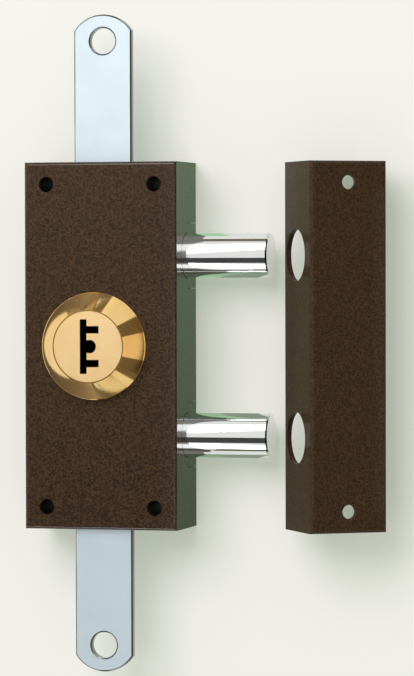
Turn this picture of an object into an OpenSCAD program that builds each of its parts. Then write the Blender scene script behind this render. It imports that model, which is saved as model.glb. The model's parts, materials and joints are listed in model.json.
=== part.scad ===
// Surface-mounted multipoint lock: a folded steel case, a round key cylinder,
// two round side bolts, a flat bar up and a flat bar down, and a keeper box.
// The origin is the centre of the four fixing holes, on the plane of the case's back.
// X is the way the side bolts throw, Z is up along the bars, and the front faces -Y.
// The lock is drawn locked: bolts and bars out. One clockwise key turn draws all four in.

/* [Case] */
// Width of the case across the front
case_w = 63.5; // [62:0.5:74]
// Height of the case
case_h = 148; // [146:0.5:160]
// Depth of the case from its front to its back
case_d = 31; // [31:0.5:36]
// Sheet thickness of the cover and the rear plate
sheet = 2; // [1.5:0.1:2.2]
// Outer radius of the folded edges
fold_r = 1.2; // [0.5:0.1:1.4]
// Distance of the fixing holes from the sides of the case
fix_edge_x = 9.25; // [8.8:0.05:9.6]
// Distance of the fixing holes from the top and foot of the case
fix_edge_z = 9; // [8.6:0.1:9.4]
// Diameter of the fixing holes
fix_hole = 6.2; // [5:0.1:6.4]
// Wall of the sleeves round the fixing screws
sleeve_wall = 1; // [0.6:0.1:1.1]

/* [Side bolts] */
// Diameter of the side bolts
bolt_dia = 18; // [16:0.5:18.4]
// Length of a side bolt
bolt_len = 57; // [56:0.5:58]
// How far the bolts stand out when locked
bolt_throw = 35; // [33:0.5:35.5]
// Height of each bolt's axis above and below the middle
bolt_z = 36.3; // [36:0.1:37]
// Depth of the bolts' axis behind the front face
bolt_depth = 17.3; // [17.2:0.1:18]
// Chamfer at the ends of a bolt
bolt_chamfer = 0.6; // [0.4:0.1:2]
// Diameter of the stud that the bar drives
stud_dia = 6; // [5:0.1:6]
// Distance of the stud from the bolt's inner end
stud_inset = 5; // [4.5:0.1:5.5]

/* [Bars] */
// Width of the bars outside the case
bar_w = 24; // [22:0.5:25]
// Thickness of the bars
bar_t = 3; // [2:0.1:3]
// Depth of the bars' front behind the front face
bar_depth = 4.7; // [4.7:0.1:4.9]
// Height of the upper bar's tip above the middle, locked
upper_reach = 133.4; // [110:0.1:180]
// Depth of the lower bar's tip below the middle, locked
lower_reach = 131.7; // [110:0.1:180]
// Radius of the arc at the tip of a bar
tip_r = 14.3; // [13:0.1:30]
// Diameter of the hole in the tip of a bar
tip_hole = 10.5; // [5:0.1:12]
// Distance of that hole from the tip
tip_hole_inset = 10.7; // [9:0.1:14]
// Chamfer round the front edges of the bars
bar_edge = 0.6; // [0.2:0.1:1]
// Width of metal round the slanted slot
cam_rim = 2.85; // [2.2:0.05:3]

/* [Drive] */
// How far the bars move in one key turn
bar_travel = 18; // [17.6:0.1:18.4]
// Teeth of the drive pinion
pinion_teeth = 8; // [8:2:12]
// Pressure angle of the teeth
tooth_angle = 25; // [24:0.5:26]
// Thickness of the rack plates
rack_t = 3; // [2:0.1:3.2]
// Depth of the rack plates behind the front face
rack_depth = 17.2; // [17.2:0.1:17.6]
// Play between meshing teeth
tooth_play = 0.12; // [0.08:0.01:0.16]
// Outer edge of a rack plate from the key axis
rack_reach = 22.2; // [21.8:0.1:22.4]
// Distance of the rack rivets from the key axis
rivet_x = 18.7; // [18.4:0.1:18.8]
// Diameter of the rack rivets' spacers
rivet_dia = 5.2; // [4:0.1:5.2]
// Diameter of the posts that guide the bars
post_dia = 5; // [4:0.1:5]
// Distance of the guide posts from the middle, across
post_x = 8; // [7:0.5:8]
// Height of the guide posts above and below the middle
post_z = 48.5; // [48.4:0.1:49]
// Diameter of the pins that guide the racks
pin_dia = 4; // [3:0.1:4]
// Distance of the rack guide pins from the key axis
pin_x = 9.7; // [9:0.1:10]

/* [Cylinder] */
// Distance of the key axis from the middle of the case
key_x = -1.8; // [-2.2:0.1:-1.6]
// Diameter of the cylinder's head on the case
head_dia = 43.2; // [40:0.1:46]
// Height of the straight rim of the head
rim_h = 3; // [2:0.1:4]
// Height of the head in front of the case
head_h = 11.2; // [8:0.1:12]
// Diameter of the turning front disc
disc_dia = 28.4; // [27:0.1:29]
// Thickness of that disc
disc_t = 4; // [3:0.1:5]
// Width of the lip round the disc
lip_w = 0.4; // [0.3:0.05:0.6]
// Diameter of the plug behind the disc
plug_dia = 24.4; // [24:0.1:24.6]
// Diameter of the cylinder's threaded body
body_dia = 28.4; // [28:0.1:28.8]
// Depth of the body's inner end behind the front face
body_depth = 15.5; // [15:0.1:15.5]
// Diameter of the lock nut
nut_dia = 35; // [33:0.5:36]
// Number of wafers
wafers = 5; // [3:1:5]
// Thickness of a wafer
wafer_t = 1.4; // [1:0.1:1.5]
// Distance from one wafer to the next
wafer_pitch = 3.2; // [3:0.1:3.4]

/* [Keyway] */
// Height of the upright slot
key_h = 21.8; // [18:0.1:22]
// Width of the upright slot
key_t = 2.8; // [2:0.1:3]
// Distance of the slot to the left of the key axis
key_off = 1.9; // [1.5:0.1:2.4]
// Height of the two side prongs
prong_h = 2.95; // [2:0.05:3.2]
// Distance of each prong from the middle of the slot
prong_z = 6.75; // [6:0.05:7]
// Reach of the prongs right of the key axis
prong_x = 4.5; // [3.8:0.1:5]
// Radius of the round bulge in the middle
bulge_r = 2.7; // [2.2:0.1:2.9]
// Distance of the bulge right of the key axis
bulge_x = 0.7; // [0.3:0.1:1]

/* [Keeper] */
// Width of the keeper across its front
keeper_w = 32; // [26:0.5:40]
// Height of the keeper
keeper_h = 147; // [140:0.5:160]
// Depth of the keeper
keeper_d = 29.5; // [29.5:0.5:34]
// Diameter of the holes that take the bolts
keeper_hole = 21; // [19.5:0.1:21.6]
// Diameter of the keeper's screw holes
keeper_screw_hole = 5.6; // [4:0.1:6.4]
// Distance of the keeper's screw holes from its top and foot
keeper_edge_z = 8.5; // [8:0.1:14]
// Place of the keeper's front left edge, across from the middle of the case
keeper_x = 89.6; // [86:0.1:120]
// Distance of that edge in front of the back plane
keeper_front = 42.4; // [41:0.1:60]
// Turn of the keeper as it stands; 0 is in line with the case
keeper_turn = 33.3; // [0:0.1:34]

/* [Clearances] */
// Gap round a bolt in its guides and holes
bolt_gap = 0.2; // [0.15:0.05:0.4]
// Gap round a bar in the end walls
bar_gap = 0.3; // [0.2:0.05:0.4]
// Gap on each side of a stud, post or pin in its slot
slot_gap = 0.12; // [0.08:0.01:0.15]
// Running gap of turning parts
turn_gap = 0.1; // [0.06:0.01:0.1]
// Gap between the cover and what it drops over
cover_gap = 0.15; // [0.1:0.05:0.3]

/* [Hidden] */
$fn = 48;
eps = 0.01;

// Colours
paint = "#4d3a2d";
zinc = "#c9d3da";
chrome = "#dfe5e8";
brass = "#d9ac5c";
steel = "#9aa0a4";
bronze = "#b0783c";

// Case
fix_x = case_w - 2 * fix_edge_x;
fix_z = case_h - 2 * fix_edge_z;
keeper_fix_z = keeper_h - 2 * keeper_edge_z;
inner_x = case_w / 2 - sheet;
inner_z = case_h / 2 - sheet;
sleeve_r = fix_hole / 2 + sleeve_wall;
plate_front = case_d - sheet;
sides = [-1, 1];

// Side bolts
bolt_r = bolt_dia / 2;
bolt_hole_r = bolt_r + bolt_gap;
bolt_out_x = case_w / 2 + bolt_throw;
bolt_in_x = bolt_out_x - bolt_len;
stud_x = bolt_in_x + stud_inset;
stud_r = stud_dia / 2;
stud_proud = 0.4;
stud_front = bar_depth - stud_proud;
stud_socket = 4.7;
stud_back = bolt_depth - bolt_r + stud_socket;
tab_margin = 4.2;
tab_h = bolt_dia + 2 * tab_margin;

// Drive
pinion_r = bar_travel / (2 * PI);
module_mm = bar_travel / (pinion_teeth * PI);
tooth_pitch = PI * module_mm;
addendum = 0.7 * module_mm;
dedendum = 0.9 * module_mm;
base_r = pinion_r * cos(tooth_angle);
tip_radius = pinion_r + addendum;
root_r = pinion_r - dedendum;
spigot_r = root_r - turn_gap;
spigot_short = 0.4;
bush_wall = 2;
bush_flange_t = 1.5;
flange_t = 1;
flange_margin = 1;
flange_r = plug_dia / 2 + flange_margin;
flange_front = body_depth + 2 * turn_gap;
teeth_front = flange_front + flange_t;
tooth_margin = 0.4;
teeth_back = rack_depth + rack_t + tooth_margin;
rack_margin = 4.5;
rack_low = -rack_margin;
rack_high = bar_travel + rack_margin;
rivet_z_low = 10;
rivet_z_high = 19.5;
rivet_pin_r = 1.6;
leg_margin = 0.9;
leg_inner = body_dia / 2 + leg_margin;
leg_low = rivet_z_low - rivet_dia / 2 - leg_margin;
rivet_head_t = 0.5;
flange_screw_r = 1;
flange_screw_len = 2;
screw_ring = 9.6;

// Bars
slot_r = stud_r + slot_gap;
cam_r = slot_r + cam_rim;
cam_tilt = atan2(bar_travel, bolt_throw);
post_r = post_dia / 2;
post_slot_r = post_r + slot_gap;
pin_r = pin_dia / 2;
pin_slot_r = pin_r + slot_gap;
post_screw_r = 1.5;
post_screw_len = 9;
post_screw_spare = 0.5;
pin_step = 0.5;
pin_short = 0.2;
pin_tail_r = pin_r - pin_step;
recess = [3.4, 1.6, 0.6];

// Bolt guides
guide_t = 2;
guide_margin = 1.2;
guide_wall = 2.8;
guide_x = rack_reach + key_x + guide_margin;
guide_half = bolt_r + guide_wall;
guide_front = bar_depth + bar_t + bar_gap;
guide_foot = inner_x - cover_gap - guide_x;
guide_rivet_r = 1.5;
guide_rivet_in = 5.2;
guide_rivet_x = guide_x + guide_rivet_in;
guide_rivet_head_r = 2.6;
guide_rivet_head_t = 0.9;

// Cylinder
head_r = head_dia / 2;
disc_r = disc_dia / 2;
lip_r = disc_r + turn_gap;
plug_r = plug_dia / 2;
bore_r = plug_r + turn_gap;
body_r = body_dia / 2;
disc_back = disc_t - head_h;
plug_back = body_depth;
plug_floor = 2.6;
key_end = plug_back - plug_floor;
nut_t = bar_depth - sheet - bar_gap;
nut_slot = 3;
dowel_r = 1.25;
dowel_ring = 17.6;
dowel_x = key_x + dowel_ring;
dowel_socket = 1.5;
wafer_half = 8;
wafer_gap = 0.1;
wafer_first = 3;
wafer_play = 0.15;
wafer_start = disc_back + wafer_first;
wafer_r = plug_r - wafer_play;
lug_x = 9.9;
lug_low = 5.2;
lug_high = 6.4;
pocket_play = 0.2;
pocket_x = lug_x + pocket_play;
spring_r = 0.5;
wire_r = 0.17;
spring_turns = 5;
spring_play = 0.03;
rim_edge = 0.3;
screw_spare = 0.2;

function y_at(depth) = depth - case_d;
function from_key(x) = key_x + x;

// A plate with its front at a depth behind the front face, drawn in X and Z
module plate_at(depth, thick) {
    translate([0, y_at(depth) + thick, 0])
        rotate([90, 0, 0])
            linear_extrude(thick)
                children();
}

// A round bar along Y from one depth to another
module rod_y(r, from, to, x = 0, z = 0) {
    translate([x, y_at(to), z])
        rotate([90, 0, 0])
            cylinder(r = r, h = to - from);
}

// A round bar along X
module rod_x(r, x_low, x_high, y, z) {
    translate([x_low, y, z])
        rotate([0, 90, 0])
            cylinder(r = r, h = x_high - x_low);
}

// The outline of a slot with round ends between two points, its straight sides a hair inside them
module slot_2d(a, b, r) {
    run = b - a;
    translate(a)
        circle(r);
    translate(b)
        circle(r);
    translate(a)
        rotate(atan2(run[1], run[0]))
            translate([0, eps - r])
                square([norm(run), 2 * (r - eps)]);
}

// A rectangle whose two corners at the front, y = 0, are rounded
module front_rounded(w, d, r) {
    translate([r, 0])
        square([w - 2 * r, d]);
    translate([0, r])
        square([w, d - r]);
    for (x = [r, w - r])
        translate([x, r])
            circle(r);
}

// A folded box open at the back, from x = 0, front at y = 0, centred in z
module folded_box(w, h, d) {
    difference() {
        intersection() {
            translate([0, 0, -h / 2])
                linear_extrude(h)
                    front_rounded(w, d, fold_r);
            translate([0, 0, h / 2])
                rotate([0, 90, 0])
                    linear_extrude(w)
                        front_rounded(h, d, fold_r);
        }
        translate([sheet, sheet, sheet - h / 2])
            cube([w - 2 * sheet, d, h - 2 * sheet]);
    }
}

// The four places of the fixing holes
module at_fixings() {
    for (sx = sides, sz = sides)
        translate([sx * fix_x / 2, 0, sz * fix_z / 2])
            children();
}

// Notch in the cover's right wall for the rear plate's tab, or the tab itself
module tab_block(z, gap) {
    depth = bolt_depth + cover_gap - gap;
    translate([inner_x, y_at(depth), z - tab_h / 2 - gap])
        cube([sheet, case_d - depth, tab_h + 2 * gap]);
}

// The cover: front and four walls in one folded sheet
module case_cover() {
    color(paint)
        difference() {
            translate([-case_w / 2, -case_d, 0])
                folded_box(case_w, case_h, case_d);
            at_fixings()
                rod_y(fix_hole / 2, -eps, sheet + eps);
            rod_y(body_r + turn_gap, -eps, sheet + eps, key_x);
            rod_y(dowel_r, -eps, sheet + eps, dowel_x);
            for (s = sides) {
                tab_block(s * bolt_z, cover_gap);
                rod_x(bolt_hole_r, inner_x - eps, case_w / 2 + eps, y_at(bolt_depth), s * bolt_z);
                translate([0, 0, s * (inner_z + sheet / 2)])
                    bar_mouth();
            }
        }
}

// The slot in an end wall that a bar runs through
module bar_mouth() {
    translate([-bar_w / 2 - bar_gap, y_at(bar_depth - bar_gap), -sheet])
        cube([bar_w + 2 * bar_gap, bar_t + 2 * bar_gap, 2 * sheet]);
}

// The rear plate with a tab turned forward at each bolt
module rear_plate() {
    color(paint)
        difference() {
            union() {
                translate([cover_gap - inner_x, -sheet, cover_gap - inner_z])
                    cube([2 * (inner_x - cover_gap), sheet, 2 * (inner_z - cover_gap)]);
                for (s = sides) {
                    tab_block(s * bolt_z, 0);
                    translate([0, -sheet, s * bolt_z - tab_h / 2])
                        cube([case_w / 2, sheet, tab_h]);
                }
            }
            at_fixings()
                rod_y(fix_hole / 2, plate_front - eps, case_d + eps);
            rod_y(spigot_r + turn_gap / 2 + bush_wall, plate_front - eps, case_d + eps, key_x);
            for (s = sides) {
                rod_x(bolt_hole_r, inner_x - eps, case_w / 2 + eps, y_at(bolt_depth), s * bolt_z);
                rod_y(post_screw_r, plate_front - eps, case_d + eps, post_x, s * post_z);
                post_screw_head(s, eps);
                rod_y(pin_tail_r, plate_front - eps, case_d + eps, from_key(s * pin_x));
            }
            for (s = sides, t = sides)
                rod_y(
                    guide_rivet_r, plate_front - eps, case_d + eps,
                    guide_rivet_x, s * bolt_z + t * bolt_r
                );
        }
}

// Spacing sleeves between cover and rear plate round the fixing screws
module fixing_sleeves() {
    color(steel)
        at_fixings()
            difference() {
                rod_y(sleeve_r, sheet, plate_front);
                rod_y(fix_hole / 2, sheet - eps, plate_front + eps);
            }
}

// Posts that guide the bars and tie the cover to the rear plate
module bar_guide_posts() {
    color(steel)
        for (s = sides)
            difference() {
                rod_y(post_r, sheet, plate_front, post_x, s * post_z);
                rod_y(post_screw_r, plate_front - post_screw_len, plate_front + eps, post_x, s * post_z);
            }
}

// The countersunk head of a post screw, or its seat when grown at the mouth
module post_screw_head(s, grow) {
    translate([post_x, grow, s * post_z])
        rotate([90, 0, 0])
            cylinder(r1 = 2 * post_screw_r + grow, r2 = post_screw_r, h = post_screw_r + grow);
}

// The two countersunk screws in the posts, with a cross recess
module post_screws() {
    color(steel)
        for (s = sides)
            difference() {
                union() {
                    rod_y(
                        post_screw_r, plate_front - post_screw_len + post_screw_spare, case_d - eps,
                        post_x, s * post_z
                    );
                    post_screw_head(s, 0);
                }
                for (turn = [0, 90])
                    translate([post_x, 0, s * post_z])
                        rotate([0, turn, 0])
                            cube(recess, center = true);
            }
}

// Pins that guide the rack plates
module rack_guide_pins() {
    color(steel)
        for (s = sides) {
            rod_y(pin_r, rack_depth - pin_short, plate_front, from_key(s * pin_x));
            rod_y(pin_tail_r, plate_front - eps, case_d, from_key(s * pin_x));
        }
}

// A folded cradle on the rear plate that carries a bolt
module bolt_guide(s) {
    color(zinc)
        difference() {
            union() {
                translate([guide_x, y_at(guide_front), s * bolt_z - guide_half])
                    cube([guide_t, plate_front - guide_front, 2 * guide_half]);
                translate([guide_x, y_at(plate_front - guide_t), s * bolt_z - guide_half])
                    cube([guide_foot, guide_t, 2 * guide_half]);
            }
            rod_x(bolt_hole_r, guide_x - eps, guide_x + guide_t + eps, y_at(bolt_depth), s * bolt_z);
            translate([guide_x - eps, y_at(guide_front) - eps, s * bolt_z - bolt_hole_r])
                cube([guide_t + 2 * eps, bolt_depth - guide_front + eps, 2 * bolt_hole_r]);
            for (t = sides)
                rod_y(
                    guide_rivet_r, plate_front - guide_t - eps, plate_front + eps,
                    guide_rivet_x, s * bolt_z + t * bolt_r
                );
        }
}

module upper_bolt_guide() {
    bolt_guide(1);
}

module lower_bolt_guide() {
    bolt_guide(-1);
}

// Rivets that hold the two cradles
module bolt_guide_rivets() {
    head_back = plate_front - guide_t;
    color(steel)
        for (s = sides, t = sides) {
            rod_y(guide_rivet_r, head_back, case_d, guide_rivet_x, s * bolt_z + t * bolt_r);
            rod_y(
                guide_rivet_head_r, head_back - guide_rivet_head_t, head_back,
                guide_rivet_x, s * bolt_z + t * bolt_r
            );
        }
}

// The cylinder: a turned brass head and a body through the cover
module cylinder_housing() {
    color(brass)
        translate([key_x, 0, 0])
            difference() {
                translate([0, -case_d, 0])
                    rotate([-90, 0, 0])
                        rotate_extrude($fn = 96)
                            polygon([
                                [bore_r, disc_back + turn_gap],
                                [lip_r, disc_back + turn_gap],
                                [lip_r, -head_h],
                                [lip_r + lip_w, -head_h],
                                [head_r - rim_edge, -rim_h - rim_edge],
                                [head_r, -rim_h],
                                [head_r, 0],
                                [body_r, 0],
                                [body_r, body_depth],
                                [bore_r, body_depth]
                            ]);
                rod_y(dowel_r, -dowel_socket, eps, dowel_x - key_x);
            }
}

// Slotted round nut behind the cover's front
module cylinder_lock_nut() {
    color(steel)
        difference() {
            rod_y(nut_dia / 2, sheet, sheet + nut_t, key_x);
            rod_y(body_r + turn_gap / 2, sheet - eps, sheet + nut_t + eps, key_x);
            for (turn = [0:90:270])
                translate([key_x, y_at(sheet + nut_t / 2), 0])
                    rotate([0, turn + 45, 0])
                        translate([nut_dia / 2, 0, 0])
                            cube([nut_slot, nut_t + 2 * eps, nut_slot], center = true);
        }
}

// Dowel that stops the cylinder from turning in the cover
module cylinder_dowel() {
    color(steel)
        rod_y(dowel_r, -dowel_socket, sheet, dowel_x);
}

// Flanged bush in the rear plate for the pinion's spigot
module pinion_bush() {
    bush_r = spigot_r + turn_gap / 2;
    color(bronze)
        difference() {
            union() {
                rod_y(bush_r + bush_wall, plate_front - eps, case_d, key_x);
                rod_y(bush_r + 2 * bush_wall, plate_front - bush_flange_t, plate_front, key_x);
            }
            rod_y(bush_r, plate_front - bush_flange_t - eps, case_d + eps, key_x);
        }
}

// The keeper: one folded box, open at the back, with two bolt holes and two screw holes
module keeper_box() {
    color(paint)
        translate([keeper_x, -keeper_front, 0])
            rotate([0, 0, keeper_turn])
                difference() {
                    folded_box(keeper_w, keeper_h, keeper_d);
                    for (s = sides) {
                        rod_x(keeper_hole / 2, -eps, sheet + eps, bolt_depth, s * bolt_z);
                        translate([keeper_w / 2, sheet + eps, s * keeper_fix_z / 2])
                            rotate([90, 0, 0])
                                cylinder(d = keeper_screw_hole, h = sheet + 2 * eps);
                    }
                }
}

// The keyway's outline, seen from the front, from the key axis
module keyway_2d() {
    translate([-key_off - key_t / 2, -key_h / 2])
        square([key_t, key_h]);
    for (s = sides)
        translate([-key_off, s * prong_z - prong_h / 2])
            square([key_off + prong_x, prong_h]);
    translate([bulge_x, 0])
        circle(bulge_r);
}

// The room of one wafer and its spring in the plug
module wafer_room_2d() {
    translate([-wafer_half - wafer_gap, -plug_r])
        square([2 * (wafer_half + wafer_gap), 2 * plug_r]);
    translate([wafer_half, 0])
        square([pocket_x - wafer_half, lug_high + pocket_play]);
}

// Depth of each wafer's front
function wafer_depth(i) = wafer_start + i * wafer_pitch;

// The turning plug with the keyway in its front disc
module key_plug() {
    color(brass)
        difference() {
            union() {
                rod_y(disc_r, -head_h, disc_back, key_x, $fn = 96);
                rod_y(plug_r, disc_back - eps, plug_back, key_x);
            }
            translate([key_x, 0, 0])
                plate_at(-head_h - eps, head_h + key_end)
                    keyway_2d();
            for (i = [0:wafers - 1])
                translate([key_x, 0, 0])
                    plate_at(wafer_depth(i), wafer_t + 2 * wafer_gap)
                        wafer_room_2d();
            for (s = sides)
                rod_y(
                    flange_screw_r, plug_back - flange_screw_len - screw_spare, plug_back + eps,
                    key_x, s * screw_ring
                );
        }
}

// The wafers, drawn in as a key draws them
module plug_wafers() {
    color(brass)
        for (i = [0:wafers - 1])
            translate([key_x, 0, 0])
                plate_at(wafer_depth(i) + wafer_gap, wafer_t)
                    difference() {
                        intersection() {
                            union() {
                                translate([-wafer_half, -plug_r])
                                    square([2 * wafer_half, 2 * plug_r]);
                                translate([wafer_half - eps, lug_low])
                                    square([lug_x - wafer_half, lug_high - lug_low]);
                            }
                            circle(wafer_r);
                        }
                        keyway_2d();
                    }
}

// A coil spring along Z, as a closed tube with flat caps
module coil_spring(r, wire, length, turns) {
    steps = turns * 8;
    ring_sides = 5;
    rings = [
        for (i = [0:steps], k = [0:ring_sides - 1])
            let (around = i * 45, tube = k * 360 / ring_sides, out = r + wire * cos(tube))
                [out * cos(around), out * sin(around), i * length / steps + wire * sin(tube)]
    ];
    skin = [
        for (i = [0:steps - 1], k = [0:ring_sides - 1])
            let (a = i * ring_sides + k, b = i * ring_sides + (k + 1) % ring_sides)
                each [[a, b, b + ring_sides], [a, b + ring_sides, a + ring_sides]]
    ];
    first = [for (k = [ring_sides - 1:-1:0]) k];
    last = [for (k = [0:ring_sides - 1]) steps * ring_sides + k];
    polyhedron(points = rings, faces = concat(skin, [first, last]));
}

// One light spring under each wafer's lug
module wafer_springs() {
    color(steel)
        for (i = [0:wafers - 1])
            translate([
                from_key((wafer_half + pocket_x) / 2),
                y_at(wafer_depth(i) + wafer_gap + wafer_t / 2),
                wire_r + spring_play
            ])
                coil_spring(spring_r, wire_r, lug_low - 2 * (wire_r + spring_play), spring_turns);
}

// Half the angle that a pinion tooth takes at radius r
function involute(a) = tan(a) * 180 / PI - a;
function flank_angle(r) = let (a = acos(min(1, base_r / r)))
    90 / pinion_teeth + involute(tooth_angle) - involute(a) - tooth_play * 45 / (PI * pinion_r);
function polar(r, a) = [r * cos(a), r * sin(a)];

// One pinion tooth pointing along +X
module pinion_tooth_2d() {
    steps = 5;
    radii = [for (i = [0:steps]) base_r + (tip_radius - base_r) * i / steps];
    low = [for (r = radii) polar(r, -flank_angle(r))];
    high = [for (i = [steps:-1:0]) polar(radii[i], flank_angle(radii[i]))];
    inner = root_r * 0.8;
    polygon(concat(
        [polar(inner, -flank_angle(base_r))], low,
        high, [polar(inner, flank_angle(base_r))]
    ));
}

// The drive pinion: a flange that holds the plug in, teeth, and a spigot
module drive_pinion() {
    color(steel)
        difference() {
            union() {
                rod_y(flange_r, flange_front, teeth_front, key_x);
                rod_y(root_r, teeth_front - eps, teeth_back, key_x);
                rod_y(spigot_r, teeth_back - eps, case_d - spigot_short, key_x);
                rod_y(root_r, plug_back, flange_front + eps, key_x);
                translate([key_x, 0, 0])
                    plate_at(teeth_front - eps, teeth_back - teeth_front + eps)
                        for (i = [0:pinion_teeth - 1])
                            rotate(i * 360 / pinion_teeth)
                                pinion_tooth_2d();
            }
            for (s = sides)
                rod_y(flange_screw_r, flange_front - eps, teeth_front + eps, key_x, s * screw_ring);
        }
}

// Two small screws that fix the pinion's flange to the plug
module pinion_screws() {
    color(steel)
        for (s = sides)
            rod_y(flange_screw_r, plug_back - flange_screw_len, teeth_front, key_x, s * screw_ring);
}

// The slanted slot's two ends in the upper bar, locked: first where the stud is now
cam_start = [stud_x, bolt_z];
cam_end = [stud_x - bolt_throw, bolt_z + bar_travel];

// A bar seen from the front as the upper one; the leg goes to the given side
module bar_2d(reach, leg_side) {
    leg_root = leg_side > 0 ? cam_start : cam_end;
    leg_x0 = min(leg_side * leg_inner, leg_side * rack_reach);
    difference() {
        union() {
            slot_2d(cam_start, cam_end, cam_r);
            intersection() {
                polygon([
                    [-bar_w / 2, cam_start[1] + (stud_x + bar_w / 2) * tan(cam_tilt)],
                    [bar_w / 2, cam_start[1] + (stud_x - bar_w / 2) * tan(cam_tilt)],
                    [bar_w / 2, reach],
                    [-bar_w / 2, reach]
                ]);
                union() {
                    translate([0, reach - tip_r])
                        circle(tip_r, $fn = 96);
                    translate([-bar_w / 2, 0])
                        square([bar_w, reach - tip_r]);
                }
            }
            translate([from_key(leg_x0), leg_low])
                square([rack_reach - leg_inner, leg_root[1] - leg_low]);
        }
        slot_2d(cam_start, cam_end, slot_r);
        slot_2d([post_x, post_z], [post_x, post_z + bar_travel], post_slot_r);
        translate([0, reach - tip_hole_inset])
            circle(tip_hole / 2);
        for (z = [rivet_z_low, rivet_z_high])
            translate([from_key(leg_side * rivet_x), z])
                circle(rivet_pin_r);
    }
}

// What a chamfer takes off a front edge: the edge is at the origin, the bar on its left
module bar_edge_2d() {
    polygon([[-bar_edge - eps, -eps], [eps, -eps], [eps, bar_edge + eps]]);
}

// What the chamfers take off the sides, the tip and the hole of a bar, as the upper one
module bar_chamfers(reach) {
    side_low = cam_end[1] + cam_r;
    for (m = [0, 1])
        mirror([m, 0, 0])
            translate([bar_w / 2, 0, side_low])
                linear_extrude(reach - side_low)
                    bar_edge_2d();
    translate([0, 0, reach - tip_r])
        intersection() {
            rotate([-90, 0, 0])
                rotate_extrude($fn = 96)
                    translate([tip_r, 0])
                        bar_edge_2d();
            translate([-bar_w, -bar_t, 0])
                cube([2 * bar_w, 2 * bar_t, 2 * tip_r]);
        }
    translate([0, -eps, reach - tip_hole_inset])
        rotate([-90, 0, 0])
            cylinder(r1 = tip_hole / 2 + bar_edge + eps, r2 = tip_hole / 2 - eps, h = bar_edge + 2 * eps);
}

// A bar, drawn as the upper one
module bar(reach, leg_side) {
    color(zinc)
        difference() {
            plate_at(bar_depth, bar_t)
                bar_2d(reach, leg_side);
            translate([0, y_at(bar_depth), 0])
                bar_chamfers(reach);
        }
}

module upper_bar() {
    bar(upper_reach, 1);
}

module lower_bar() {
    mirror([0, 0, 1])
        bar(lower_reach, -1);
}

// The rack plate right of the key axis, locked, drawn from the key axis
module rack_2d() {
    root_x = pinion_r + dedendum;
    crest_x = pinion_r - addendum;
    crest_half = tooth_pitch / 4 - addendum * tan(tooth_angle) - tooth_play / 4;
    root_half = tooth_pitch / 4 + dedendum * tan(tooth_angle) - tooth_play / 4;
    first = ceil((rack_low + root_half) / tooth_pitch - 0.5);
    last = floor((rack_high - root_half) / tooth_pitch - 0.5);
    teeth = [
        for (i = [first:last])
            let (z = (i + 0.5) * tooth_pitch)
                each [[root_x, z - root_half], [crest_x, z - crest_half],
                      [crest_x, z + crest_half], [root_x, z + root_half]]
    ];
    difference() {
        polygon(concat(
            [[rack_reach, rack_low], [root_x, rack_low]],
            teeth,
            [[root_x, rack_high], [rack_reach, rack_high]]
        ));
        slot_2d([pin_x, 0], [pin_x, bar_travel], pin_slot_r);
        for (z = [rivet_z_low, rivet_z_high])
            translate([rivet_x, z])
                circle(rivet_pin_r);
    }
}

module upper_rack() {
    color(steel)
        translate([key_x, 0, 0])
            plate_at(rack_depth, rack_t)
                rack_2d();
}

module lower_rack() {
    color(steel)
        translate([key_x, 0, 0])
            plate_at(rack_depth, rack_t)
                rotate(180)
                    rack_2d();
}

// Spacer rivets between a bar's leg, where they end flush, and its rack plate
module bar_rivets(s) {
    color(steel)
        for (z = [rivet_z_low, rivet_z_high]) {
            x = from_key(s * rivet_x);
            rod_y(rivet_dia / 2, bar_depth + bar_t, rack_depth, x, s * z);
            rod_y(rivet_pin_r, bar_depth, rack_depth + rack_t + eps, x, s * z);
            rod_y(rivet_dia / 2, rack_depth + rack_t, rack_depth + rack_t + rivet_head_t, x, s * z);
        }
}

module upper_bar_rivets() {
    bar_rivets(1);
}

module lower_bar_rivets() {
    bar_rivets(-1);
}

// A round side bolt, thrown, with a socket for its stud
module side_bolt(s) {
    color(chrome)
        difference() {
            translate([bolt_in_x, y_at(bolt_depth), s * bolt_z])
                rotate([0, 90, 0])
                    rotate_extrude($fn = 96)
                        polygon([
                            [0, 0],
                            [bolt_r - bolt_chamfer, 0],
                            [bolt_r, bolt_chamfer],
                            [bolt_r, bolt_len - bolt_chamfer],
                            [bolt_r - bolt_chamfer, bolt_len],
                            [0, bolt_len]
                        ]);
            rod_y(stud_r, bolt_depth - bolt_dia, stud_back, stud_x, s * bolt_z);
        }
}

module upper_bolt() {
    side_bolt(1);
}

module lower_bolt() {
    side_bolt(-1);
}

// The stud in a bolt that runs in the bar's slanted slot
module bolt_stud(s) {
    color(steel)
        rod_y(stud_r, stud_front, stud_back, stud_x, s * bolt_z);
}

module upper_bolt_stud() {
    bolt_stud(1);
}

module lower_bolt_stud() {
    bolt_stud(-1);
}

case_cover();
rear_plate();
fixing_sleeves();
bar_guide_posts();
post_screws();
rack_guide_pins();
upper_bolt_guide();
lower_bolt_guide();
bolt_guide_rivets();
cylinder_housing();
cylinder_lock_nut();
cylinder_dowel();
pinion_bush();
keeper_box();
key_plug();
plug_wafers();
wafer_springs();
drive_pinion();
pinion_screws();
upper_bar();
upper_rack();
upper_bar_rivets();
lower_bar();
lower_rack();
lower_bar_rivets();
upper_bolt();
upper_bolt_stud();
lower_bolt();
lower_bolt_stud();
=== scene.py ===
import json
import math

import bpy
from mathutils import Matrix, Vector

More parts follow.
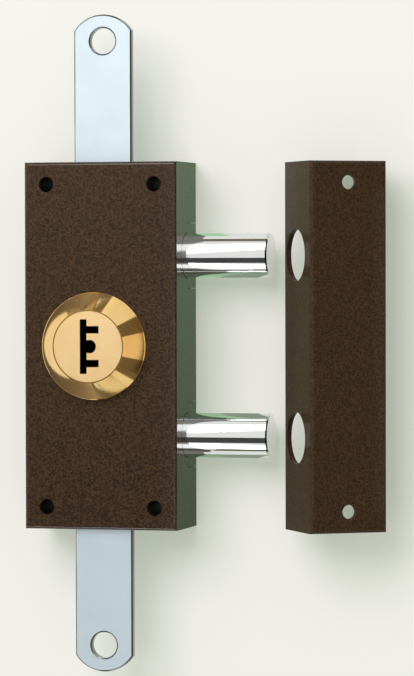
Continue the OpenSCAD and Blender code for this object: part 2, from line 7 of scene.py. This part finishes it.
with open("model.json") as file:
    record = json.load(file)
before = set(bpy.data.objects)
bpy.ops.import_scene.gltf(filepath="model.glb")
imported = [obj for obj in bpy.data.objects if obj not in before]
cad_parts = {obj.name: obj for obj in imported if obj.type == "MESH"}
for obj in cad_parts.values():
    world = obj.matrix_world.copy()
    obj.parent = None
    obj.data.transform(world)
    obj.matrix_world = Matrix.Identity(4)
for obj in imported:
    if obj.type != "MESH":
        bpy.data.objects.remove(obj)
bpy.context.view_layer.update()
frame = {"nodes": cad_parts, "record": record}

nodes = frame["nodes"]
scene = bpy.context.scene
WHITE = (1.0, 1.0, 1.0)

# Camera: the photograph's view, from a fit to the edges of case, bolts, bars and keeper
AZ, EL, ROLL = math.radians(14.65), math.radians(1.24), math.radians(-0.124)
TARGET = Vector((0.0403, -0.015, 0.00301))
DISTANCE = 1.444
LENS, SENSOR = 190.6, 36
NEAREST, FARTHEST = 0.05, 20


def direction(azimuth, elevation):
    """From the lock towards an azimuth, 0 being straight in front of it, and an elevation."""
    level = math.cos(elevation)
    return Vector((math.sin(azimuth) * level, -math.cos(azimuth) * level, math.sin(elevation)))


toward = direction(AZ, EL)
right = (-toward).cross(Vector((0, 0, 1))).normalized()
up = right.cross(-toward)
image_right = right * math.cos(ROLL) + up * math.sin(ROLL)
image_up = up * math.cos(ROLL) - right * math.sin(ROLL)
camera_data = bpy.data.cameras.new("camera")
camera_data.lens = LENS
camera_data.sensor_width = SENSOR
camera_data.clip_start = NEAREST
camera_data.clip_end = FARTHEST
camera = bpy.data.objects.new("camera", camera_data)
scene.collection.objects.link(camera)
turned = Matrix((image_right, image_up, toward)).transposed().to_4x4()
camera.matrix_world = Matrix.Translation(TARGET + toward * DISTANCE) @ turned
scene.camera = camera
scene.view_settings.view_transform = "Standard"


def new_material(name):
    material = bpy.data.materials.new(name)
    material.use_nodes = True
    tree = material.node_tree
    return material, tree, tree.nodes["Principled BSDF"]


def node(tree, kind, **values):
    """A new node. Each value goes to the input of that name, or else to the node's own setting."""
    made = tree.nodes.new(kind)
    for key, value in values.items():
        if key in made.inputs:
            made.inputs[key].default_value = value
        else:
            setattr(made, key, value)
    return made


def calc(tree, operation, *values):
    """A maths node. Each value is a number or another node's output."""
    made = node(tree, "ShaderNodeMath", operation=operation)
    for socket, value in zip(made.inputs, values):
        if isinstance(value, bpy.types.NodeSocket):
            tree.links.new(value, socket)
        else:
            socket.default_value = value
    return made.outputs[0]


def remap(tree, value, source, target=(0.0, 1.0)):
    """Carry a value over from one range to another, and stop at its ends."""
    made = node(tree, "ShaderNodeMapRange")
    for name, number in zip(("From Min", "From Max", "To Min", "To Max"), (*source, *target)):
        made.inputs[name].default_value = number
    tree.links.new(value, made.inputs["Value"])
    return made.outputs["Result"]


def blend(tree, amount, start, end):
    """The start's colour where amount is 0, and the end's where it is 1."""
    made = node(tree, "ShaderNodeMix", data_type="RGBA")
    tree.links.new(amount, made.inputs["Factor"])
    tree.links.new(start, made.inputs["A"])
    made.inputs["B"].default_value = (*end, 1)
    return made.outputs["Result"]


def ramp(tree, source, stops):
    """Colours for a value, from stops that each name a place and a colour."""
    made = tree.nodes.new("ShaderNodeValToRGB")
    elements = made.color_ramp.elements
    while len(elements) < len(stops):
        # The loop below sets its place
        elements.new(0.5)
    for element, (position, color) in zip(elements, stops):
        element.position = position
        element.color = (*color, 1)
    tree.links.new(source, made.inputs["Fac"])
    return made.outputs["Color"]


def place(tree, scale=(1, 1, 1), move=(0, 0, 0)):
    """Where a point lies on its own object, scaled and moved."""
    coordinates = tree.nodes.new("ShaderNodeTexCoord")
    mapping = node(tree, "ShaderNodeMapping", Location=move, Scale=scale)
    tree.links.new(coordinates.outputs["Object"], mapping.inputs["Vector"])
    return mapping.outputs["Vector"]


def split(tree, vector):
    made = tree.nodes.new("ShaderNodeSeparateXYZ")
    tree.links.new(vector, made.inputs["Vector"])
    return made.outputs


def noise(tree, vector, scale, detail=3.0, roughness=0.5):
    made = node(tree, "ShaderNodeTexNoise", Scale=scale, Detail=detail, Roughness=roughness)
    tree.links.new(vector, made.inputs["Vector"])
    return made.outputs["Fac"]


def bump(tree, height, strength, distance):
    made = node(tree, "ShaderNodeBump", Strength=strength, Distance=distance)
    tree.links.new(height, made.inputs["Height"])
    return made.outputs["Normal"]


# Enamel: the grain's size, how its three patterns add up, and how deep it is in paint and coat
GRAIN = 0.0008
CELLS, WARP, SPECKLE = 1 / GRAIN, 0.6 / GRAIN, 1.3 / GRAIN
PATTERN_SUM = (0.95, 1.75)
PAINT_DEPTH, COAT_DEPTH = GRAIN * 0.12, GRAIN * 0.05
PAINT_BUMP, COAT_BUMP = 0.5, 0.1
PAINT_ROUGHNESS, COAT_ROUGHNESS = 0.5, 0.04
PAINT_SPECULAR, COAT_IOR = 0.1, 1.5
DARK_AT, MID_AT, LIGHT_AT = 0.1, 0.5, 0.95


def enamel(name, dark, mid, light, coat):
    """Brown hammered enamel: mottled colour and a grain of about a millimetre under a glossy skin."""
    material, tree, shader = new_material(name)
    here = place(tree)
    cells = node(tree, "ShaderNodeTexVoronoi", Scale=CELLS, feature="SMOOTH_F1", Smoothness=0.6)
    tree.links.new(here, cells.inputs["Vector"])
    warp = noise(tree, here, WARP)
    speckle = noise(tree, here, SPECKLE, detail=2, roughness=0.6)
    total = calc(tree, "ADD", calc(tree, "ADD", cells.outputs["Distance"], speckle), warp)
    pattern = remap(tree, total, PATTERN_SUM)
    colour = ramp(tree, pattern, [(DARK_AT, dark), (MID_AT, mid), (LIGHT_AT, light)])
    tree.links.new(colour, shader.inputs["Base Color"])
    shader.inputs["Roughness"].default_value = PAINT_ROUGHNESS
    shader.inputs["Specular IOR Level"].default_value = PAINT_SPECULAR
    shader.inputs["Coat Weight"].default_value = coat
    shader.inputs["Coat Roughness"].default_value = COAT_ROUGHNESS
    shader.inputs["Coat IOR"].default_value = COAT_IOR
    tree.links.new(bump(tree, pattern, PAINT_BUMP, PAINT_DEPTH), shader.inputs["Normal"])
    tree.links.new(bump(tree, pattern, COAT_BUMP, COAT_DEPTH), shader.inputs["Coat Normal"])
    return material


# Metals: clouds of worn metal in the clean, and fine marks that also vary the roughness
X, Y, Z = 0, 1, 2
WORN_AT, CLEAN_AT = 0.35, 0.65
METAL_CLOUDS, BRASS_CLOUDS = 60, 90
STREAK_SQUEEZE, STREAK_DEPTH, STREAK_SPREAD = 0.04, 0.00005, (0.85, 1.15)
RING_PITCH, RING_DEPTH, RING_SPREAD = 0.0003, 0.00004, (0.8, 1.2)


def clouds(tree, scale, worn, clean):
    return ramp(tree, noise(tree, place(tree), scale), [(WORN_AT, worn), (CLEAN_AT, clean)])


def spread(tree, marks, roughness, shares):
    """Roughness that follows the marks, from the first share of its value to the second."""
    return remap(tree, marks, (0, 1), [roughness * share for share in shares])


def connect_metal(tree, shader, tint, sheen, normal):
    tree.links.new(tint, shader.inputs["Base Color"])
    tree.links.new(sheen, shader.inputs["Roughness"])
    tree.links.new(normal, shader.inputs["Normal"])
    shader.inputs["Metallic"].default_value = 1.0


# Cut edges, by how far the surface faces forwards or backwards: flat faces keep colour and sheen
CUT_COLOUR_RANGE = (0.95, 0.65)
CUT_SHEEN_RANGE, CUT_SHEEN = (0.9, 0.95), (0.35, 1.0)


def metal(name, colour, worn, roughness, streaks, strength=0.05, along=Z, cut=None):
    """A plain metal with fine streaks along one axis. Its cut edges can be darker and smoother."""
    material, tree, shader = new_material(name)
    scale = [1, 1, 1]
    scale[along] = STREAK_SQUEEZE
    drawn = noise(tree, place(tree, scale), streaks, roughness=0.6)
    tint = clouds(tree, METAL_CLOUDS, worn, colour)
    sheen = spread(tree, drawn, roughness, STREAK_SPREAD)
    if cut is not None:
        normal = tree.nodes.new("ShaderNodeTexCoord").outputs["Normal"]
        facing = calc(tree, "ABSOLUTE", split(tree, normal)["Y"])
        tint = blend(tree, remap(tree, facing, CUT_COLOUR_RANGE), tint, cut)
        sheen = calc(tree, "MULTIPLY", sheen, remap(tree, facing, CUT_SHEEN_RANGE, CUT_SHEEN))
    connect_metal(tree, shader, tint, sheen, bump(tree, drawn, strength, STREAK_DEPTH))
    return material


# Key cylinder: its axis, and the painted shade that darkens the keyway from its mouth inwards and stays
# off the disc's rim
KEY_X = -0.0018
KEYWAY_MOUTH, KEYWAY_SHADE_DEPTH = -0.0421, 0.0009
KEYWAY_SHADE_RADIUS = 0.0138
KEYWAY_SHADE_COLOUR = (0.02, 0.013, 0.008)


def turned_brass(name, colour, worn, roughness, strength, keyway_shade_from=None):
    """Brass with turning marks round the cylinder's axis. With a start given, painted shade darkens the
    keyway.
    """
    material, tree, shader = new_material(name)
    across = node(tree, "ShaderNodeVectorMath", operation="MULTIPLY")
    across.inputs[1].default_value = (1, 0, 1)
    tree.links.new(place(tree, move=(-KEY_X, 0, 0)), across.inputs[0])
    length = node(tree, "ShaderNodeVectorMath", operation="LENGTH")
    tree.links.new(across.outputs["Vector"], length.inputs[0])
    radius = length.outputs["Value"]
    rings = node(tree, "ShaderNodeTexNoise", noise_dimensions="1D", Scale=1 / RING_PITCH, Detail=3.0)
    tree.links.new(radius, rings.inputs["W"])
    marks = rings.outputs["Fac"]
    tint = clouds(tree, BRASS_CLOUDS, worn, colour)
    # Painted shade: past the keyway's mouth the plug fades to near black, away from its rim
    if keyway_shade_from is not None:
        depth_range = (keyway_shade_from, keyway_shade_from + KEYWAY_SHADE_DEPTH)
        depth = remap(tree, split(tree, place(tree))["Y"], depth_range)
        inside = calc(tree, "MULTIPLY", depth, calc(tree, "LESS_THAN", radius, KEYWAY_SHADE_RADIUS))
        tint = blend(tree, inside, tint, KEYWAY_SHADE_COLOUR)
    sheen = spread(tree, marks, roughness, RING_SPREAD)
    connect_metal(tree, shader, tint, sheen, bump(tree, marks, strength, RING_DEPTH))
    return material


finishes = {
    "case_paint": enamel(
        "case_paint",
        dark=(0.0125, 0.006, 0.0023), mid=(0.028, 0.0138, 0.006), light=(0.058, 0.03, 0.0138), coat=0.6,
    ),
    "keeper_paint": enamel(
        "keeper_paint",
        dark=(0.021, 0.0095, 0.0032), mid=(0.033, 0.0164, 0.0056), light=(0.053, 0.028, 0.011), coat=0.2,
    ),
    "bolt_chrome": metal(
        "bolt_chrome",
        colour=(0.86, 0.88, 0.88), worn=(0.83, 0.86, 0.86), roughness=0.035,
        streaks=900, strength=0.008, along=X,
    ),
    "bar_zinc": metal(
        "bar_zinc",
        colour=(0.64, 0.745, 0.8), worn=(0.59, 0.695, 0.75), roughness=0.5,
        streaks=2500, strength=0.12, along=Z, cut=(0.22, 0.24, 0.225),
    ),
    "head_brass": turned_brass(
        "head_brass",
        colour=(0.96, 0.67, 0.28), worn=(0.93, 0.61, 0.23), roughness=0.09, strength=0.06,
    ),
    "plug_brass": turned_brass(
        "plug_brass",
        colour=(1.0, 0.735, 0.38), worn=(0.98, 0.695, 0.34), roughness=0.36, strength=0.25,
        keyway_shade_from=KEYWAY_MOUTH,
    ),
    "inner_steel": metal(
        "inner_steel",
        colour=(0.42, 0.43, 0.44), worn=(0.34, 0.35, 0.36), roughness=0.4,
        streaks=1800, strength=0.1, along=Z,
    ),
    "bush_bronze": metal(
        "bush_bronze",
        colour=(0.5, 0.31, 0.14), worn=(0.42, 0.25, 0.11), roughness=0.42,
        streaks=1800, strength=0.1, along=Y,
    ),
}
# Fixing sleeves: near-black steel, painted shade that keeps the deep fixing holes dark
sleeve_painted_shade = metal(
    "sleeve_painted_shade",
    colour=(0.02, 0.02, 0.022), worn=(0.015, 0.015, 0.016), roughness=0.6, streaks=1800,
)
for part in frame["record"]["subparts"]:
    mesh = nodes[part["node"]].data
    mesh.materials.clear()
    mesh.materials.append(finishes[part["material_slot"]])
sleeves = nodes["fixing_sleeves"].data
sleeves.materials.clear()
sleeves.materials.append(sleeve_painted_shade)

# Ways that a card can face
FORWARD, BACKWARD, LEFTWARD = (0, -1, 0), (0, 1, 0), (-1, 0, 0)
UPWARD, DOWNWARD = (0, 0, 1), (0, 0, -1)


def turn_to(normal):
    """The rotation that points a card's face along normal, or a lamp's light the other way."""
    return Vector(normal).to_track_quat("Z", "Y").to_matrix().to_4x4()


def card(name, centre, normal, width, height):
    """A flat rectangle whose face looks along normal."""
    mesh = bpy.data.meshes.new(name)
    w, h = width / 2, height / 2
    mesh.from_pydata([(-w, -h, 0), (w, -h, 0), (w, h, 0), (-w, h, 0)], [], [(0, 1, 2, 3)])
    made = bpy.data.objects.new(name, mesh)
    scene.collection.objects.link(made)
    made.matrix_world = Matrix.Translation(Vector(centre)) @ turn_to(normal)
    return made


# Backdrop: a pale sheet just behind the lock, seen from its front only
PAPER, PAPER_SHADE = (0.605, 0.55, 0.588), 0.985
PAPER_CLOUDS, SHADED_AT, PALE_AT = 9, 0.3, 0.7
PAPER_GLOW, PAPER_GLOW_COLOUR = 0.32, (0.84, 1.0, 0.76, 1)
BACKDROP_CENTRE, BACKDROP_SIDE = (0.04, 0.0006, 0), 6

backdrop = card("backdrop", BACKDROP_CENTRE, FORWARD, BACKDROP_SIDE, BACKDROP_SIDE)
material, tree, shader = new_material("backdrop_paper")
shaded = tuple(PAPER_SHADE * c for c in PAPER)
cloudy = noise(tree, place(tree), PAPER_CLOUDS, detail=2)
paper = ramp(tree, cloudy, [(SHADED_AT, shaded), (PALE_AT, PAPER)])
tree.links.new(paper, shader.inputs["Base Color"])
shader.inputs["Roughness"].default_value = 1.0
shader.inputs["Specular IOR Level"].default_value = 0.0
path = tree.nodes.new("ShaderNodeLightPath")
lift = calc(tree, "MAXIMUM", path.outputs["Is Camera Ray"], path.outputs["Is Glossy Ray"])
shader.inputs["Emission Color"].default_value = PAPER_GLOW_COLOUR
tree.links.new(calc(tree, "MULTIPLY", lift, PAPER_GLOW), shader.inputs["Emission Strength"])
geometry = tree.nodes.new("ShaderNodeNewGeometry")
clear = tree.nodes.new("ShaderNodeBsdfTransparent")
choice = tree.nodes.new("ShaderNodeMixShader")
tree.links.new(geometry.outputs["Backfacing"], choice.inputs["Fac"])
tree.links.new(shader.outputs["BSDF"], choice.inputs[1])
tree.links.new(clear.outputs["BSDF"], choice.inputs[2])
tree.links.new(choice.outputs["Shader"], tree.nodes["Material Output"].inputs["Surface"])
backdrop.data.materials.append(material)
backdrop.visible_shadow = False

# World: pale to the camera, to gloss and to glass, and a weaker soft fill to everything else
FILL_COLOUR, FILL_STRENGTH = (0.95, 1.0, 0.9, 1), 0.61
ROOM_COLOUR = (0.87, 0.85, 0.83, 1)

world = bpy.data.worlds.new("studio")
scene.world = world
world.use_nodes = True
tree = world.node_tree
tree.nodes.clear()
path = tree.nodes.new("ShaderNodeLightPath")
seen = calc(tree, "MAXIMUM", path.outputs["Is Camera Ray"], path.outputs["Is Glossy Ray"])
seen = calc(tree, "MAXIMUM", seen, path.outputs["Is Transmission Ray"])
fill = node(tree, "ShaderNodeBackground", Color=FILL_COLOUR, Strength=FILL_STRENGTH)
room = node(tree, "ShaderNodeBackground", Color=ROOM_COLOUR, Strength=1.0)
mix = tree.nodes.new("ShaderNodeMixShader")
tree.links.new(seen, mix.inputs["Fac"])
tree.links.new(fill.outputs["Background"], mix.inputs[1])
tree.links.new(room.outputs["Background"], mix.inputs[2])
out = tree.nodes.new("ShaderNodeOutputWorld")
tree.links.new(mix.outputs["Shader"], out.inputs["Surface"])

LAMP_AIM = Vector((0.02, -0.02, 0))


def softbox(name, azimuth, elevation, distance, width, height, watts, colour):
    light = bpy.data.lights.new(name, "AREA")
    light.shape = "RECTANGLE"
    light.size = width
    light.size_y = height
    light.energy = watts
    light.color = colour
    made = bpy.data.objects.new(name, light)
    scene.collection.objects.link(made)
    away = direction(math.radians(azimuth), math.radians(elevation))
    made.matrix_world = Matrix.Translation(LAMP_AIM + away * distance) @ turn_to(away)
    made.visible_camera = False
    return made


key_light = softbox(
    "key_light",
    azimuth=-14, elevation=29, distance=2.2, width=1.6, height=1.4, watts=32, colour=(1.0, 0.94, 0.98),
)
key_light.visible_glossy = False
softbox(
    "rear_light",
    azimuth=195, elevation=35, distance=1.3, width=1.4, height=1.0, watts=7, colour=WHITE,
)


def glossy_card(name, centre, normal, width, height, colour, strength, top=None):
    """A light or dark card that only mirrors see. With top, its strength runs from foot to top."""
    made = card(name, centre, normal, width, height)
    material = bpy.data.materials.new(name)
    material.use_nodes = True
    tree = material.node_tree
    tree.nodes.clear()
    glow = node(tree, "ShaderNodeEmission", Strength=strength, Color=(*colour, 1))
    if top is not None:
        run = remap(tree, split(tree, place(tree))["Y"], (-height / 2, height / 2), (strength, top))
        tree.links.new(run, glow.inputs["Strength"])
    end = tree.nodes.new("ShaderNodeOutputMaterial")
    tree.links.new(glow.outputs["Emission"], end.inputs["Surface"])
    made.data.materials.append(material)
    made.visible_camera = False
    made.visible_diffuse = False
    made.visible_transmission = False
    made.visible_shadow = False


BOLTS_MIDDLE = Vector((0.05, -0.014, 0))


def bolt_card(name, side, low, high, distance, width, strength):
    """A card that the bolts mirror as a line along them, between two angles above the level.

    Side -1 is for the photograph's view, and 1 for the same view from the lock's other side.
    """
    middle, half = math.radians((low + high) / 2), math.radians((high - low) / 2)
    ahead = math.cos(AZ)
    ray = Vector((side * math.sin(AZ), -ahead * math.cos(middle), ahead * math.sin(middle)))
    height = 2 * distance * math.tan(half)
    glossy_card(name, BOLTS_MIDDLE + ray * distance, -ray, width, height, WHITE, strength)


for side in (-1, 1):
    bolt_card(f"white_strip_high_{side}", side, low=8, high=76, distance=1.1, width=0.15, strength=5.6)
    bolt_card(f"white_strip_low_{side}", side, low=-74, high=-39, distance=1.1, width=0.15, strength=6.0)
    bolt_card(f"dark_strip_{side}", side, low=-38, high=-11, distance=1.0, width=0.34, strength=0.06)

# Cards round the lock, seen only in its mirrors and mostly in the cylinder head: dim surfaces above,
# below and beside it, and shaded or dark patches of the ground. GROUND lies just before the backdrop.
DIM, DARK, LIGHT = (1.0, 0.8, 0.56), (0.16, 0.13, 0.09), (0.85, 0.72, 0.57)
GREEN_SHADE, KEEPER_SHADE = (0.29, 0.43, 0.265), (0.27, 0.32, 0.245)
TO_KEEPER = (-0.788, 0.616, 0.02)
GROUND, CEILING, FLOOR = 0.0003, 0.25, -0.25
NEAR_CARDS = (
    # Name, centre, way it faces, width, height, colour and strength, then the top's if it differs
    ("dim_card_above", (-0.12, -0.03, CEILING), DOWNWARD, 0.17, 0.07, DIM, 0.5),
    ("grey_card_above", (0.0, -0.03, CEILING), DOWNWARD, 0.07, 0.07, DIM, 0.2),
    ("grey_card_below", (-0.031, -0.03, FLOOR), UPWARD, 0.04, 0.07, DIM, 0.1),
    ("ground_shade", (0.036, GROUND, -0.0035), FORWARD, 0.012, 0.163, GREEN_SHADE, 0.8, 1.6),
    ("ground_shade_keeper", (0.05, GROUND, -0.0225), FORWARD, 0.016, 0.125, KEEPER_SHADE, 1.0),
    ("dark_card_eleven", (-0.0915, GROUND, 0.1285), FORWARD, 0.033, 0.073, DARK, 1.0),
    ("dark_card_seven", (-0.075, GROUND, -0.13), FORWARD, 0.05, 0.07, DARK, 1.0),
    ("dark_card_arc", (-0.13, GROUND, 0.215), FORWARD, 0.05, 0.05, DARK, 1.0),
    ("dark_card_foot", (-0.11, GROUND, -0.205), FORWARD, 0.05, 0.06, DARK, 1.0),
    ("dark_card_corner", (0.06, -0.06, FLOOR), UPWARD, 0.14, 0.045, DARK, 1.0),
    ("dark_card_side", (0.9, -0.1, -0.14), LEFTWARD, 0.6, 1.92, DARK, 1.0),
    ("light_card_side", (0.2, -0.0695, -0.005), LEFTWARD, 0.041, 0.14, LIGHT, 1.0),
    ("dark_card_front", (-0.15, -0.531, -0.012), BACKWARD, 0.092, 0.212, DIM, 0.02, 0.55),
    ("dark_card_keeper", (0.563, -0.412, -0.014), TO_KEEPER, 0.16, 0.32, DIM, 0.08),
)
for near_card in NEAR_CARDS:
    glossy_card(*near_card)
